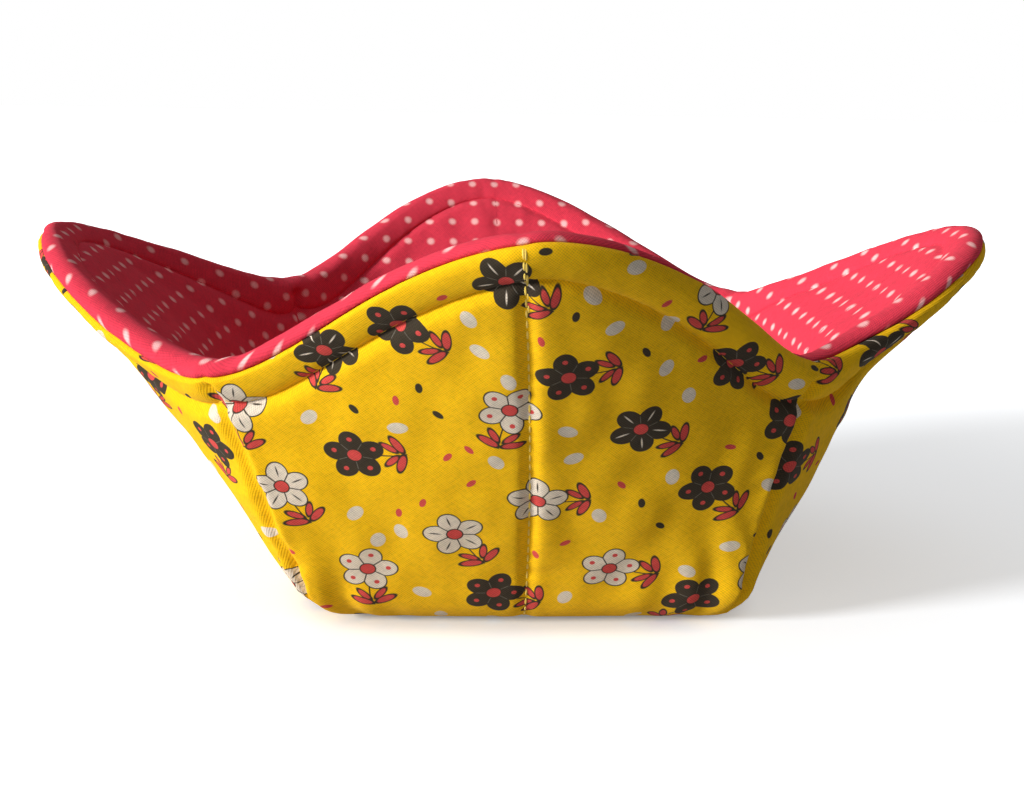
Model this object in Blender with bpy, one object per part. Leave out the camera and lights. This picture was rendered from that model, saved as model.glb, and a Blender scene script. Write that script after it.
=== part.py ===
"""A quilted bowl cozy for the microwave, sewn from two padded cotton squares.

Each square is darted at the middle of its four sides, which makes a flat base and four walls
that lean out and end in rounded peaks. The printed outer bowl and the dotted lining sit one in
the other with a layer of batting behind each, and are joined round the rim with their edges
turned in. The cozy stands on its base with the origin under the middle of it, +Z up and the
front wall towards -Y. Lengths are in metres and angles in degrees.
"""

import math
from collections import namedtuple

import bmesh
import bpy

# The bowl that the darts make of the square
BASE_SIDE = 0.0865
BASE_FILLET = 0.010  # of the middle of the cloth, all round the base
WALL_CLOTH = 0.1005  # up the cloth from the base edge to a peak
VALLEY_CLOTH = 0.0595  # the same, up a dart seam to the rim
PEAK_SHARPNESS = 1.9
VALLEY_SOFTNESS = 1.55
WALL_BOW = 3.2  # how flat a wall stays before it turns in to its dart seams
WALL_BEND_AT = 0.045  # up the cloth, where a wall starts to flare or straighten
SEAM_BEND_AT = 0.010
FILLET_TURN = 70  # about what the cloth turns through between the base and a wall
DART_LEAN = 20  # about how far a dart seam leans from the upright, for the slope of the rim

# Layers, from the outside in
COTTON = 0.0006
BATTING = 0.0019
LAYER_GAP = 0.0004

# The rim: a puffed roll above a line of topstitching
ROLL_SWELL = 0.0002
STITCH_DEPTH = 0.0070  # from the rim's top down to the topstitching
PRESSED_BATTING = 0.0009
GROOVE_RIM_SIDE = 0.0025
GROOVE_WALL_SIDE = 0.0040
RIM_SEAM_ANGLE = 60  # round the roll from its outer side, where the two cottons meet
TURNED_EDGE_ABOVE_STITCH = 0.0018
ELBOW_DOWN_ROLL = 0.75  # of the roll's radius, where the two turned edges come upright

# How finely the cloth is divided
COLUMNS_PER_WALL = 12
WALL_ROWS = 4
FILLET_ROWS = 3
SLOPE_STEP = 0.01  # across a wall, to measure the slope of the rim

# Lean from the upright below and above the bend, and how far the peak is pulled along its wall
Wall = namedtuple("Wall", "facing lean_low lean_top pull skew")
WALLS = (
    Wall(facing=-90, lean_low=30.5, lean_top=33, pull=-0.005, skew=0.08),
    Wall(facing=0, lean_low=33, lean_top=50, pull=-0.0015, skew=-0.07),
    Wall(facing=90, lean_low=38, lean_top=27.5, pull=0.0025, skew=0.03),
    Wall(facing=180, lean_low=37, lean_top=53.5, pull=-0.002, skew=-0.10),
)

# The dart seams, each after the wall of the same place in WALLS, going round by the right hand
Dart = namedtuple("Dart", "lean_low lean_top")
DARTS = (
    Dart(lean_low=11, lean_top=14),
    Dart(lean_low=25.5, lean_top=16),
    Dart(lean_low=19, lean_top=11),
    Dart(lean_low=18.5, lean_top=19.5),
)

BASE_HALF = BASE_SIDE / 2
WALL_HALF = LAYER_GAP / 2 + BATTING + LAYER_GAP + COTTON
GROOVE_HALF = LAYER_GAP / 2 + PRESSED_BATTING + LAYER_GAP + COTTON
ROLL_RADIUS = WALL_HALF + ROLL_SWELL
ROLL_FOOT = STITCH_DEPTH - GROOVE_RIM_SIDE
GROOVE_FOOT = STITCH_DEPTH + GROOVE_WALL_SIDE
TURNED_EDGE = STITCH_DEPTH - TURNED_EDGE_ABOVE_STITCH
ELBOW_DEPTH = ELBOW_DOWN_ROLL * ROLL_RADIUS
FILLET_REACH = BASE_FILLET * math.tan(math.radians(FILLET_TURN / 2))
RIM_HALF = BASE_HALF + VALLEY_CLOTH * math.sin(math.radians(DART_LEAN))


def section(lean_low, lean_top, bend_at, full, along):
    """Place and direction of the cloth's middle, (out, up, out, up), at a length up from the base edge."""
    low = math.radians(lean_low)
    turn = math.pi / 2 - low
    cut = BASE_FILLET * math.tan(turn / 2)
    if along < cut:
        angle = turn * max(0.0, (along + cut) / (2 * cut))
        out = along if along < -cut else BASE_FILLET * math.sin(angle) - cut
        return out, BASE_FILLET * (1 - math.cos(angle)), math.cos(angle), math.sin(angle)
    curl = math.radians(lean_top - lean_low) / (full - bend_at)
    straight = min(along, bend_at)
    out, up = straight * math.sin(low), straight * math.cos(low)
    lean = low + curl * (along - straight)
    if along > bend_at and abs(curl) > 0:
        out += (math.cos(low) - math.cos(lean)) / curl
        up += (math.sin(lean) - math.sin(low)) / curl
    return out, up, math.sin(lean), math.cos(lean)


def wall_section(wall, along):
    return section(wall.lean_low, wall.lean_top, WALL_BEND_AT, WALL_CLOTH, along)


def dart_section(dart, along):
    return section(dart.lean_low, dart.lean_top, SEAM_BEND_AT, VALLEY_CLOTH, along)


def rim_cloth(wall, across):
    """Cloth length from the base edge to the rim, for across from -1 to 1 between the wall's darts."""
    from_peak = min(1.0, abs(across - wall.skew * (1 - across**2)))
    rise = (1 - from_peak**PEAK_SHARPNESS) ** VALLEY_SOFTNESS
    return VALLEY_CLOTH + (WALL_CLOTH - VALLEY_CLOTH) * rise


def rim_stretch(wall, across):
    """Length up the cloth for each unit square to the rim, which slopes between peak and valley."""
    left, right = max(-1.0, across - SLOPE_STEP), min(1.0, across + SLOPE_STEP)
    rise = rim_cloth(wall, right) - rim_cloth(wall, left)
    return math.hypot(1.0, rise / ((right - left) * RIM_HALF))


def cloth_point(index, across, along, offset):
    """World point of a wall: across it, along up the cloth, offset outwards from its middle."""
    wall = WALLS[index]
    before, after = DARTS[index - 1], DARTS[index]
    middle = wall_section(wall, along)
    left, right = dart_section(before, along), dart_section(after, along)
    to_right = (1 + across) / 2
    bow = 1 - abs(across) ** WALL_BOW
    chord = [start + to_right * (end - start) for start, end in zip(left, right)]
    out, up, run, rise = [c + bow * (m - c) for c, m in zip(chord, middle)]
    length = math.hypot(run, rise)
    out += BASE_HALF + offset * rise / length
    up += WALL_HALF - offset * run / length
    # At a dart both walls reach as far sideways as outwards, so they meet on the diagonal.
    half_left, half_right = (
        BASE_HALF + s[0] + offset * s[3] / math.hypot(s[2], s[3]) for s in (left, right)
    )
    sideways = across * (half_left + to_right * (half_right - half_left))
    sideways += wall.pull * bow * max(0.0, along / WALL_CLOTH) ** 2
    facing = math.radians(wall.facing)
    return (
        out * math.cos(facing) - sideways * math.sin(facing),
        out * math.sin(facing) + sideways * math.cos(facing),
        up,
    )


def columns():
    """Places across a wall, closer together near the darts. The last is the next wall's first."""
    steps = range(COLUMNS_PER_WALL)
    return [math.sin(math.pi * (step / COLUMNS_PER_WALL - 0.5)) for step in steps]


# A station is a place in the cozy's section: a rule for the length up the cloth, and an offset.
def floor_station(along, offset):
    return (lambda wall, across: along), offset


def wall_station(share, offset):
    """A share of the way from the base fillet to the foot of the rim's groove."""

    def along(wall, across):
        top = rim_cloth(wall, across) - GROOVE_FOOT * rim_stretch(wall, across)
        return FILLET_REACH + share * (top - FILLET_REACH)

    return along, offset


def rim_station(depth, offset):
    return (lambda wall, across: rim_cloth(wall, across) - depth * rim_stretch(wall, across)), offset


def roll_station(radius, angle):
    """On a round about the roll's middle, at an angle in radians from its outer side over the top."""
    return rim_station(ROLL_RADIUS - radius * math.sin(angle), radius * math.cos(angle))


def body_stations(offset, pressed, rolled):
    """A face from the base's middle to the foot of the roll, at its offsets in wall, groove and roll."""
    rows = range(FILLET_ROWS + 1)
    stations = [floor_station(-BASE_HALF, offset)]
    stations += [floor_station(FILLET_REACH * (2 * row / FILLET_ROWS - 1), offset) for row in rows]
    stations += [wall_station(row / WALL_ROWS, offset) for row in range(1, WALL_ROWS + 1)]
    return stations + [rim_station(STITCH_DEPTH, pressed), rim_station(ROLL_FOOT, rolled)]


def face_stations(side, inset):
    """The outer (side 1) or inner (side -1) face of the whole thickness, less what is outside it."""
    offsets = (WALL_HALF - inset, GROOVE_HALF - inset, ROLL_RADIUS - inset)
    return body_stations(*[side * offset for offset in offsets])


def seam_line():
    """Where the two cottons lie face to face: seam at the roll's surface, elbow, and turned edge."""
    angle = math.radians(RIM_SEAM_ANGLE)
    seam = (ROLL_RADIUS * (1 - math.sin(angle)), ROLL_RADIUS * math.cos(angle))
    return seam, (ELBOW_DEPTH, 0.0), (TURNED_EDGE, 0.0)


def beside_seam(offset):
    """The seam line moved sideways by an offset, as (depth, offset) at its seam, elbow and edge."""
    seam, elbow, edge = seam_line()
    run, drop = elbow[0] - seam[0], elbow[1] - seam[1]
    length = math.hypot(run, drop)
    across = (-drop / length, run / length)
    start = (seam[0] + offset * across[0], seam[1] + offset * across[1])
    to_elbow = (offset - start[1]) / (drop / length)
    return start, (start[0] + to_elbow * run / length, offset), (edge[0], offset)


def angle_at_seam(radius, offset):
    """The angle at which a round about the roll's middle meets the seam line moved by an offset."""
    seam, elbow, _ = seam_line()
    run, drop = elbow[0] - seam[0], elbow[1] - seam[1]
    length = math.hypot(run, drop)
    across = (-drop / length, run / length)
    reach = (seam[0] - ROLL_RADIUS) * across[0] + seam[1] * across[1] + offset
    return math.acos(reach / radius) - math.atan2(across[0], across[1])


def roll_angles(side, radius, offset):
    """Angles from the roll's own side round to the seam line moved by an offset, the start left out."""
    start, steps = (0.0, 2) if side > 0 else (math.pi, 4)
    end = angle_at_seam(radius, offset)
    return [start + (end - start) * step / steps for step in range(1, steps + 1)]


def cotton_face(side, inset):
    """A face of the printed cover (side 1) or the lining (side -1), inset from its right side."""
    offset = side * (LAYER_GAP / 2 + inset)
    stations = face_stations(side, inset)
    for angle in roll_angles(side, ROLL_RADIUS - inset, offset):
        stations.append(roll_station(ROLL_RADIUS - inset, angle))
    return stations + [rim_station(*place) for place in beside_seam(offset)[1:]]


def cotton_sections(side):
    return cotton_face(side, 0.0), cotton_face(side, COTTON)


def batting_sections(side):
    """The batting's face against its cotton, and its face at the middle and round the turned edges."""
    inset = COTTON + LAYER_GAP
    middle = side * LAYER_GAP / 2
    outer = face_stations(side, inset)
    for angle in roll_angles(side, ROLL_RADIUS - COTTON, middle + side * COTTON)[:-1]:
        outer.append(roll_station(ROLL_RADIUS - inset, angle))
    _, elbow, edge = beside_seam(middle + side * inset)
    below_edge = edge[0] + LAYER_GAP
    inner = body_stations(middle, middle, middle)[:-1]
    inner += [rim_station(below_edge, middle), rim_station(below_edge, edge[1]), rim_station(*elbow)]
    return outer, inner


def ring_points(station):
    """One ring of points round all four walls."""
    along, offset = station
    return [
        cloth_point(index, across, along(wall, across), offset)
        for index, wall in enumerate(WALLS)
        for across in columns()
    ]


def base_middle(station):
    _, offset = station
    return (0.0, 0.0, WALL_HALF - offset)


def skin_rings(mesh, rings, top):
    """Joins each ring of vertices to the next with triangles, split the same way up to the top and down."""
    for index, (first, second) in enumerate(zip(rings, rings[1:])):
        for place, here in enumerate(first):
            after = (place + 1) % len(first)
            if index < top:
                mesh.faces.new((here, first[after], second[after]))
                mesh.faces.new((here, second[after], second[place]))
            else:
                mesh.faces.new((here, first[after], second[place]))
                mesh.faces.new((first[after], second[after], second[place]))


def close_base(mesh, middle, ring):
    for place, here in enumerate(ring):
        mesh.faces.new((middle, ring[(place + 1) % len(ring)], here))


def cotton_material(name, colour, roughness):
    material = bpy.data.materials.new(name)
    material.use_nodes = True
    surface = material.node_tree.nodes["Principled BSDF"]
    surface.inputs["Base Color"].default_value = (*colour, 1.0)
    surface.inputs["Roughness"].default_value = roughness
    surface.inputs["Metallic"].default_value = 0.0
    return material


def layer(name, sections, material):
    """A closed layer, skinned up its first face, over its top edge and down its second."""
    first, second = sections
    stations = first[1:] + second[:0:-1]
    mesh = bmesh.new()
    rings = [[mesh.verts.new(point) for point in ring_points(station)] for station in stations]
    skin_rings(mesh, rings, top=len(first) - 1)
    close_base(mesh, mesh.verts.new(base_middle(first[0])), rings[0])
    close_base(mesh, mesh.verts.new(base_middle(second[0])), rings[-1][::-1])
    bmesh.ops.recalc_face_normals(mesh, faces=mesh.faces)
    data = bpy.data.meshes.new(name)
    mesh.to_mesh(data)
    mesh.free()
    data.materials.append(material)
    data.shade_smooth()
    data.set_sharp_from_angle(angle=math.radians(50))
    piece = bpy.data.objects.new(name, data)
    bpy.context.scene.collection.objects.link(piece)
    return piece


def build():
    for old in list(bpy.data.objects):
        bpy.data.objects.remove(old)
    batting = cotton_material("cotton_batting", (0.86, 0.84, 0.78), 0.95)
    layer("outer_cover", cotton_sections(1), cotton_material("printed_cotton", (0.72, 0.42, 0.02), 0.85))
    layer("outer_batting", batting_sections(1), batting)
    layer("lining_batting", batting_sections(-1), batting)
    layer("lining", cotton_sections(-1), cotton_material("dotted_cotton", (0.60, 0.025, 0.05), 0.85))


build()
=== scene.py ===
"""The looks of the microwave bowl cozy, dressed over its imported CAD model.

The printed cover, the dotted lining and the two layers of batting are modelled again as dense
closed cloths on the surface that the CAD source uses, with the rolled rim, the pressed
topstitching, the quilting, the puckers and the dart seams. The thread is geometry too. Prints,
weave and bump are procedural, on the cloth's own flat coordinates. Lengths are in metres.
"""

import math
from collections import namedtuple

import bpy
import numpy as np
from mathutils import Matrix, Vector, noise


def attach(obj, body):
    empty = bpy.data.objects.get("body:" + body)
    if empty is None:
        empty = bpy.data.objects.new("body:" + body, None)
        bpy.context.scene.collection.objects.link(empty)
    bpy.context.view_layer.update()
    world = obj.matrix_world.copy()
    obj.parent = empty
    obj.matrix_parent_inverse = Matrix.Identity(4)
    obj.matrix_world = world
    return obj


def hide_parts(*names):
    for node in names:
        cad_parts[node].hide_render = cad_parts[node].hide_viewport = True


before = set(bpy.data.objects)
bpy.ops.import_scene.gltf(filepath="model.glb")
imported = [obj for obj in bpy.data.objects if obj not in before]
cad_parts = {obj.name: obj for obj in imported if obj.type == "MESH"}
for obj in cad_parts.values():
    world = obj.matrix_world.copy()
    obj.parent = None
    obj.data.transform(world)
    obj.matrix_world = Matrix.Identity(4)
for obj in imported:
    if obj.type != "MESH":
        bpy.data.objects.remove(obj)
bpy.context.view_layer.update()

MM = 0.001

# The surface of the CAD source
BASE_SIDE = 0.0865
BASE_FILLET = 0.010
WALL_CLOTH = 0.1005
VALLEY_CLOTH = 0.0595
VALLEY_SOFTNESS = 1.55
WALL_BEND_AT = 0.045
SEAM_BEND_AT = 0.010
WALL_HALF = 0.0031
ROLL_RADIUS = 0.0033
TURNED_EDGE = 0.0052
COTTON = 0.0006
LAYER_GAP = 0.0004
ELBOW_DEPTH = 0.75 * ROLL_RADIUS
BATTING_INSET = COTTON + LAYER_GAP
BASE_HALF = BASE_SIDE / 2
FILLET_REACH = 0.0070  # along the cloth, to either side of the base edge
VALLEY_RUN = 0.0204  # how far a dart seam leans out by the rim, for the rim's slope
RIM_RUN = 0.075  # about the length of the rim from a peak to a valley
WALL_SPREAD = 0.3  # how much a wall's half width grows with each length up the cloth

# The topstitched crease, a little lower on the soft cloth than in the CAD source, and the foot of
# the slope down to it
STITCH_DEPTH = 0.0084
GROOVE_FOOT = 0.0135

# The stretch of a wall, up the cloth, where a side wall is hollow
HOLLOW_FROM = 0.047
HOLLOW_TO = 0.075

# Each wall as the photograph shows it: its leans and where they start to change, the pull and skew
# of its peak, how much longer its cloth is than in the CAD source, how flat it is across, how blunt
# its peak is, the bulge low down, the hollow higher up, the lift of its base edge, and where the rim
# seam lies round the roll, in degrees, at the left, in the middle and at the right.
Wall = namedtuple("Wall", "facing lean_low lean_top bend_at pull skew longer flatness bluntness bulge hollow "
                          "lift seams")
WALLS = (
    Wall(facing=-90, lean_low=30.5, lean_top=33, bend_at=0.045, pull=-0.005, skew=0.040, longer=-0.0004,
         flatness=1.4, bluntness=1.68, bulge=0.0, hollow=0.0, lift=0.0003, seams=(20, 64, 96)),
    Wall(facing=0, lean_low=31.4, lean_top=55, bend_at=0.045, pull=-0.0033, skew=-0.064, longer=0.0008,
         flatness=3.2, bluntness=1.79, bulge=0.0030, hollow=0.0032, lift=0.0006, seams=(62, 84, 72)),
    Wall(facing=90, lean_low=33, lean_top=47, bend_at=0.064, pull=0.0025, skew=0.03, longer=0.0,
         flatness=3.8, bluntness=1.78, bulge=0.0, hollow=0.0, lift=0.0008, seams=(72, 74, 72)),
    Wall(facing=180, lean_low=37, lean_top=53.5, bend_at=0.045, pull=-0.002, skew=-0.10, longer=0.0010,
         flatness=3.2, bluntness=1.92, bulge=0.0012, hollow=0.0008, lift=0.0006, seams=(72, 84, 37)),
)

# The dart seams, each after the wall of the same place: leans, how far mid-height sways sideways,
# how much higher its valley is, how far the base's corner is drawn up and in, and the rim seam there
Dart = namedtuple("Dart", "lean_low lean_top sway higher drawn_up drawn_in seam")
DARTS = (
    Dart(lean_low=11, lean_top=14, sway=-0.0026, higher=0.0, drawn_up=0.0, drawn_in=-0.0004, seam=80),
    Dart(lean_low=25.5, lean_top=16, sway=0.0, higher=0.0, drawn_up=0.0006, drawn_in=0.0010, seam=72),
    Dart(lean_low=19, lean_top=11, sway=0.0, higher=0.0013, drawn_up=0.0006, drawn_in=0.0010, seam=72),
    Dart(lean_low=18.5, lean_top=19.5, sway=0.0025, higher=0.0014, drawn_up=0.0004, drawn_in=0.0018, seam=16),
)
SEAM_PLACES = (-1, -0.6, 0, 0.6, 1)  # across a wall, where the rim seam's place is given

# The puff between the quilting and the darts, and how soon it grows away from the stitches
PUFF = 0.0006
PUFF_FROM_QUILTING = 0.012
PUFF_BELOW_CREASE = 0.020

# The cloth pressed thin: by the topstitching, the quilting and the dart seams
CREASE_HALF_AT_PEAK = 0.0017
CREASE_HALF_IN_VALLEY = 0.0013
CREASE_HALF_INSIDE = 0.0023
CREASE_WIDTH = 0.0015
QUILT_PRESS = 0.0012
QUILT_PRESS_LESS_AT_BASE = 0.65
QUILT_PRESS_INSIDE = 0.0002
QUILT_PRESS_WIDTH = 0.0016
QUILT_PINCH_AT_RIM = 0.0002
DART_PRESS = 0.0015
DART_PRESS_WIDTH = 0.0013
DART_PINCH_AT_RIM = 0.0005
LEAST_HALF = 0.00125

# Waves, wrinkles, puckers beside the stitches, and folds that run up from the base's corners
WAVE_SIZE = 0.021
WAVE_HEIGHT = 0.0009
WRINKLE_SIZE = 0.0075
WRINKLE_LENGTH = 0.012
WRINKLE_HEIGHT = 0.0006
PUCKER_SIZE = 0.0026
PUCKER_REACH = 0.0075
PUCKER_HEIGHT = 0.00034
PUCKERS_AT_RIM = 0.5
PUCKERS_AT_DARTS = 0.6
CORNER_FOLD_SIZE = 0.0095
CORNER_FOLD_SLANT = 0.22
CORNER_FOLD_REACH = 0.015
CORNER_FOLD_HEIGHT = 0.0006

# The roll's lumps, its folds in the valleys, and the notch where the two cottons meet
ROLL_LUMP_SIZE = 0.009
ROLL_LUMP_HEIGHT = 0.00022
VALLEY_FOLD_SIZE = 0.0032
VALLEY_FOLD_HEIGHT = 0.00035
VALLEY_FOLD_REACH = 0.008
SEAM_NOTCH = 0.00045
SEAM_NOTCH_WIDTH = 0.00055
SEAM_GAP = 0.00014

# The batting, inside
BATTING_SHORT = 0.0022  # round the roll, from the rim seam

# How finely the cloth is divided
BATTING_SKIP = 3
COLUMNS = 120
FLOOR_ROWS = 16
FILLET_ROWS = 8
WALL_ROWS = 68
GROOVE_ROWS = 8
BAND_ROWS = 9
ROLL_ROWS = 15
COLUMN_CROWDING = 0.45
RIM_POINTS = 500
STITCH_SIDES = 8
STITCH_RINGS = 9

# Thread
THREAD = 0.00036
QUILT_THREAD = 0.00054
QUILT_THREAD_RISE = 0.0001
STITCH = 0.0022
STITCH_GAP = 0.0004
STITCH_SUNK = 0.6  # into the cloth, as a share of the thread's radius
STITCH_END = 0.35  # its ends' radius, as a share too
BACKTACK = 0.0155  # sewn twice, from the rim seam down
BACKTACK_APART = 0.0004

# The camera, from the fit to the photograph
CAMERA_DISTANCE = 0.38047
CAMERA_ELEVATION = 11.59
CAMERA_TURN = 3.23
CAMERA_ROLL = -1.09
CAMERA_AIM_HEIGHT = 0.040
FOCAL_PIXELS = 1609.2
IMAGE_WIDTH = 1024
IMAGE_HEIGHT = 805
PRINCIPAL_POINT = (516.75, 400.93)

# The lamps, and the light from all round
Lamp = namedtuple("Lamp", "azimuth elevation strength spread")
KEY = Lamp(azimuth=64.5, elevation=15, strength=4.4, spread=14)
WINDOW = Lamp(azimuth=60, elevation=68, strength=0.7, spread=90)
AMBIENT = 0.06

# The floor: its colour, how much it glows near the object and where it has melted into white, how
# much of its colour lights other things, and the painted shade where the object touches it
FLOOR_SIZE = 8.0
FLOOR_COLOUR = (0.84, 0.87, 0.91)
FLOOR_GLOW = 0.52
FLOOR_FADE = 0.32
FLOOR_FADE_WIDTH = 0.34
FLOOR_BOUNCE = 0.68
PAINTED_CONTACT_SHADE = 0.30
CONTACT_REACH = 0.012

# Colours of the cottons, their prints, the thread and the batting
YELLOW = (0.94, 0.53, 0.006)
INK = (0.045, 0.034, 0.022)
GREY = (0.16, 0.14, 0.11)
CREAM = (0.76, 0.65, 0.52)
POPPY = (0.66, 0.075, 0.065)
CRIMSON = (0.74, 0.045, 0.080)
DOT_WHITE = (1.0, 0.52, 0.50)
YELLOW_THREAD = (0.93, 0.66, 0.12)
GOLDEN_THREAD = (0.80, 0.50, 0.02)
RED_THREAD = (0.60, 0.02, 0.05)
WADDING = (0.86, 0.84, 0.78)

# The size and height of the fibres in thread and batting
THREAD_FIBRES = (0.0003, 0.0001)
BATTING_FIBRES = (0.0012, 0.0004)

# The prints, in millimetres on the flat cloth
PRINT_EDGE = 0.16  # how softly a printed shape ends
END_EDGE = 0.1  # and a stem under its petals, or the clearing round a posy
SHARP = 0.001  # the softness of an edge that picks between random numbers
INK_LINE = 0.26
PRINT_TURN = 33
POSY_PITCH = 23.0
POSY_RANDOMNESS = 0.30
DOT_PITCH = 6.65
DOT_RADIUS = 0.96
DOT_EDGE = 1.1
COTTON_ROUGHNESS = 0.88
COTTON_SHEEN = 0.03

# The weave, in millimetres, and the shares of warp, weft, slubs and fuzz in its bump and its painted shade
WEAVE_PITCH = 0.42
WEAVE_HEIGHT = 0.00010  # in metres
SLUB_SIZE = 0.6
SLUB_ALONG = 0.25  # how fast slubs change along their thread, against across it
FUZZ_SIZE = 0.3
WEAVE_BUMP = (0.6, 0.35, 0.3, 0.5)
WEAVE_PAINTED_SHADE = (0.28, 0.20, 0.24, 0.22)
# the painted shade's darkest factor, where warp, weft, slubs and fuzz are all 0
WEAVE_DARKEST = 0.36

# The ovals between the posies: the range of random numbers that gives each kind, colour and halves
Oval = namedtuple("Oval", "low high colour half_long half_short")
OVALS = (
    Oval(low=0.0, high=0.42, colour=CREAM, half_long=1.95, half_short=1.35),
    Oval(low=0.42, high=0.7, colour=INK, half_long=1.2, half_short=0.68),
    Oval(low=0.7, high=0.9, colour=POPPY, half_long=1.15, half_short=0.62),
)
OVAL_PITCH = 8.0
OVAL_RANDOMNESS = 0.6
OVALS_FROM_POSY = 9.8

# A posy: its eye, a ring of petals that carry a spot or a vein each, and a stem with two pairs of
# leaves, given as places from the eye or down from the posy's middle
EYE_UP = 2.4
EYE_RADIUS = 1.35
PETALS = 5
PETAL_OUT = 3.3
PETAL_HALVES = (2.6, 2.15)
PETALS_MEET = 2.4
SPOT_OUT = 4.0
SPOT_RADIUS = 0.52
VEIN_OUT = 3.7
VEIN_HALVES = (1.15, 0.16)
STEM_HALF = 0.14
STEM_REACH = 7.6
Leaf = namedtuple("Leaf", "out down slope half_long half_short")
LEAVES = (
    Leaf(out=2.3, down=6.3, slope=23, half_long=2.3, half_short=0.85),
    Leaf(out=1.6, down=4.6, slope=51.5, half_long=1.9, half_short=0.7),
)
DARK_POSIES = 0.42
SPOTTED_POSIES = 0.5
POSY_SWING = 2.4  # how far posies differ in direction, in radians


# The surface

def section(lean_low, lean_top, bend_at, full, along):
    """Place and direction of the cloth's middle, (out, up, out, up), at lengths up from the base edge."""
    low = math.radians(lean_low)
    turn = math.pi / 2 - low
    cut = BASE_FILLET * math.tan(turn / 2)
    curl = math.radians(lean_top - lean_low) / (full - bend_at)
    straight = np.minimum(along, bend_at)
    lean = low + curl * (along - straight)
    angle = turn * np.clip((along + cut) / (2 * cut), 0, 1)
    in_fillet = along < cut
    on_floor = along < -cut
    out = straight * math.sin(low) + (math.cos(low) - np.cos(lean)) / curl
    out = np.where(in_fillet, BASE_FILLET * np.sin(angle) - cut, out)
    out = np.where(on_floor, along, out)
    up = straight * math.cos(low) + (np.sin(lean) - math.sin(low)) / curl
    up = np.where(in_fillet, BASE_FILLET * (1 - np.cos(angle)), up)
    run = np.where(in_fillet, np.cos(angle), np.sin(lean))
    rise = np.where(in_fillet, np.sin(angle), np.cos(lean))
    return np.stack([out, up, run, rise])


def rim_cloth(wall, across):
    """Cloth length from the base edge to the rim, for across from -1 to 1 between the wall's darts."""
    before, after = DARTS[WALLS.index(wall) - 1], DARTS[WALLS.index(wall)]
    from_peak = np.minimum(1.0, abs(across - wall.skew * (1 - across**2)))
    rise = (1 - from_peak**wall.bluntness) ** VALLEY_SOFTNESS
    valley = VALLEY_CLOTH + before.higher * (1 - across) / 2 + after.higher * (1 + across) / 2
    return valley + (WALL_CLOTH + wall.longer - valley) * rise


def rim_stretch(wall, across):
    """Length up the cloth for each unit square to the rim, which slopes between peak and valley."""
    step = 0.01
    left = np.maximum(-1.0, across - step)
    right = np.minimum(1.0, across + step)
    rise = rim_cloth(wall, right) - rim_cloth(wall, left)
    run = (right - left) * (BASE_HALF + VALLEY_RUN)
    return np.hypot(1.0, rise / run)


def dart_section(dart, along):
    """The section along a dart seam."""
    return section(dart.lean_low, dart.lean_top, SEAM_BEND_AT, VALLEY_CLOTH, along)


def cloth_point(index, across, along, offset):
    """World points of a wall: across it, along up the cloth, offset outwards from its middle.

    The wall's own section holds between the sections at its two darts, which it meets in a bow.
    """
    wall, before, after = WALLS[index], DARTS[index - 1], DARTS[index]
    middle = section(wall.lean_low, wall.lean_top, wall.bend_at, WALL_CLOTH, along)
    left, right = dart_section(before, along), dart_section(after, along)
    to_right = (1 + across) / 2
    bow = 1 - abs(across) ** wall.flatness
    chord = left + to_right * (right - left)
    out, up, run, rise = chord + bow * (middle - chord)
    norm = np.hypot(run, rise)
    low_down = np.sin(math.pi * np.clip(along / WALL_BEND_AT, 0, 1))
    high_up = np.sin(math.pi * np.clip((along - HOLLOW_FROM) / (HOLLOW_TO - HOLLOW_FROM), 0, 1)) ** 2
    out = out + BASE_HALF + offset * rise / norm
    out = out + bow * (wall.bulge * low_down - wall.hollow * high_up)
    up = up + WALL_HALF - offset * run / norm
    half_left = BASE_HALF + left[0] + offset * left[3] / np.hypot(left[2], left[3])
    half_right = BASE_HALF + right[0] + offset * right[3] / np.hypot(right[2], right[3])
    sideways = across * (half_left + to_right * (half_right - half_left))
    sideways = sideways + wall.pull * bow * np.maximum(0.0, along / WALL_CLOTH) ** 2
    near_edge = np.exp(-(along / BASE_FILLET) ** 2)
    up = up + wall.lift * (1 - across**2) ** 2 * near_edge
    facing = math.radians(wall.facing)
    x = out * math.cos(facing) - sideways * math.sin(facing)
    y = out * math.sin(facing) + sideways * math.cos(facing)
    mid_height = np.sin(math.pi * np.clip(along / VALLEY_CLOTH, 0, 1))
    for dart, nearness, turn in ((after, to_right, 45), (before, 1 - to_right, -45)):
        sway = dart.sway * nearness**4 * mid_height
        corner = nearness**10 * near_edge
        diagonal = facing + math.radians(turn)
        x = x - sway * math.sin(diagonal) - dart.drawn_in * corner * math.cos(diagonal)
        y = y + sway * math.cos(diagonal) - dart.drawn_in * corner * math.sin(diagonal)
        up = up + dart.drawn_up * corner
    return np.stack([x, y, up], axis=-1)


def cloth_across(index, across, along, steps=16):
    """Distance over the cloth from the middle of its wall, which is its flat sideways place."""
    total = np.zeros(np.broadcast(across, along).shape)
    last = cloth_point(index, 0 * across, along, 0.0)
    for step in range(1, steps + 1):
        here = cloth_point(index, across * step / steps, along, 0.0)
        total = total + np.linalg.norm(here - last, axis=-1)
        last = here
    return np.sign(across) * total


# Relief

def crumple(first, second, seed):
    """Smooth noise from -1 to 1 at each pair of numbers, with features about 1 across."""
    first, second = np.broadcast_arrays(first, second)
    values = [noise.noise(Vector((a, b, seed))) for a, b in zip(first.ravel(), second.ravel())]
    return np.array(values).reshape(first.shape)


def dip(distance, width):
    return np.exp(-(distance / width) ** 2)


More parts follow.
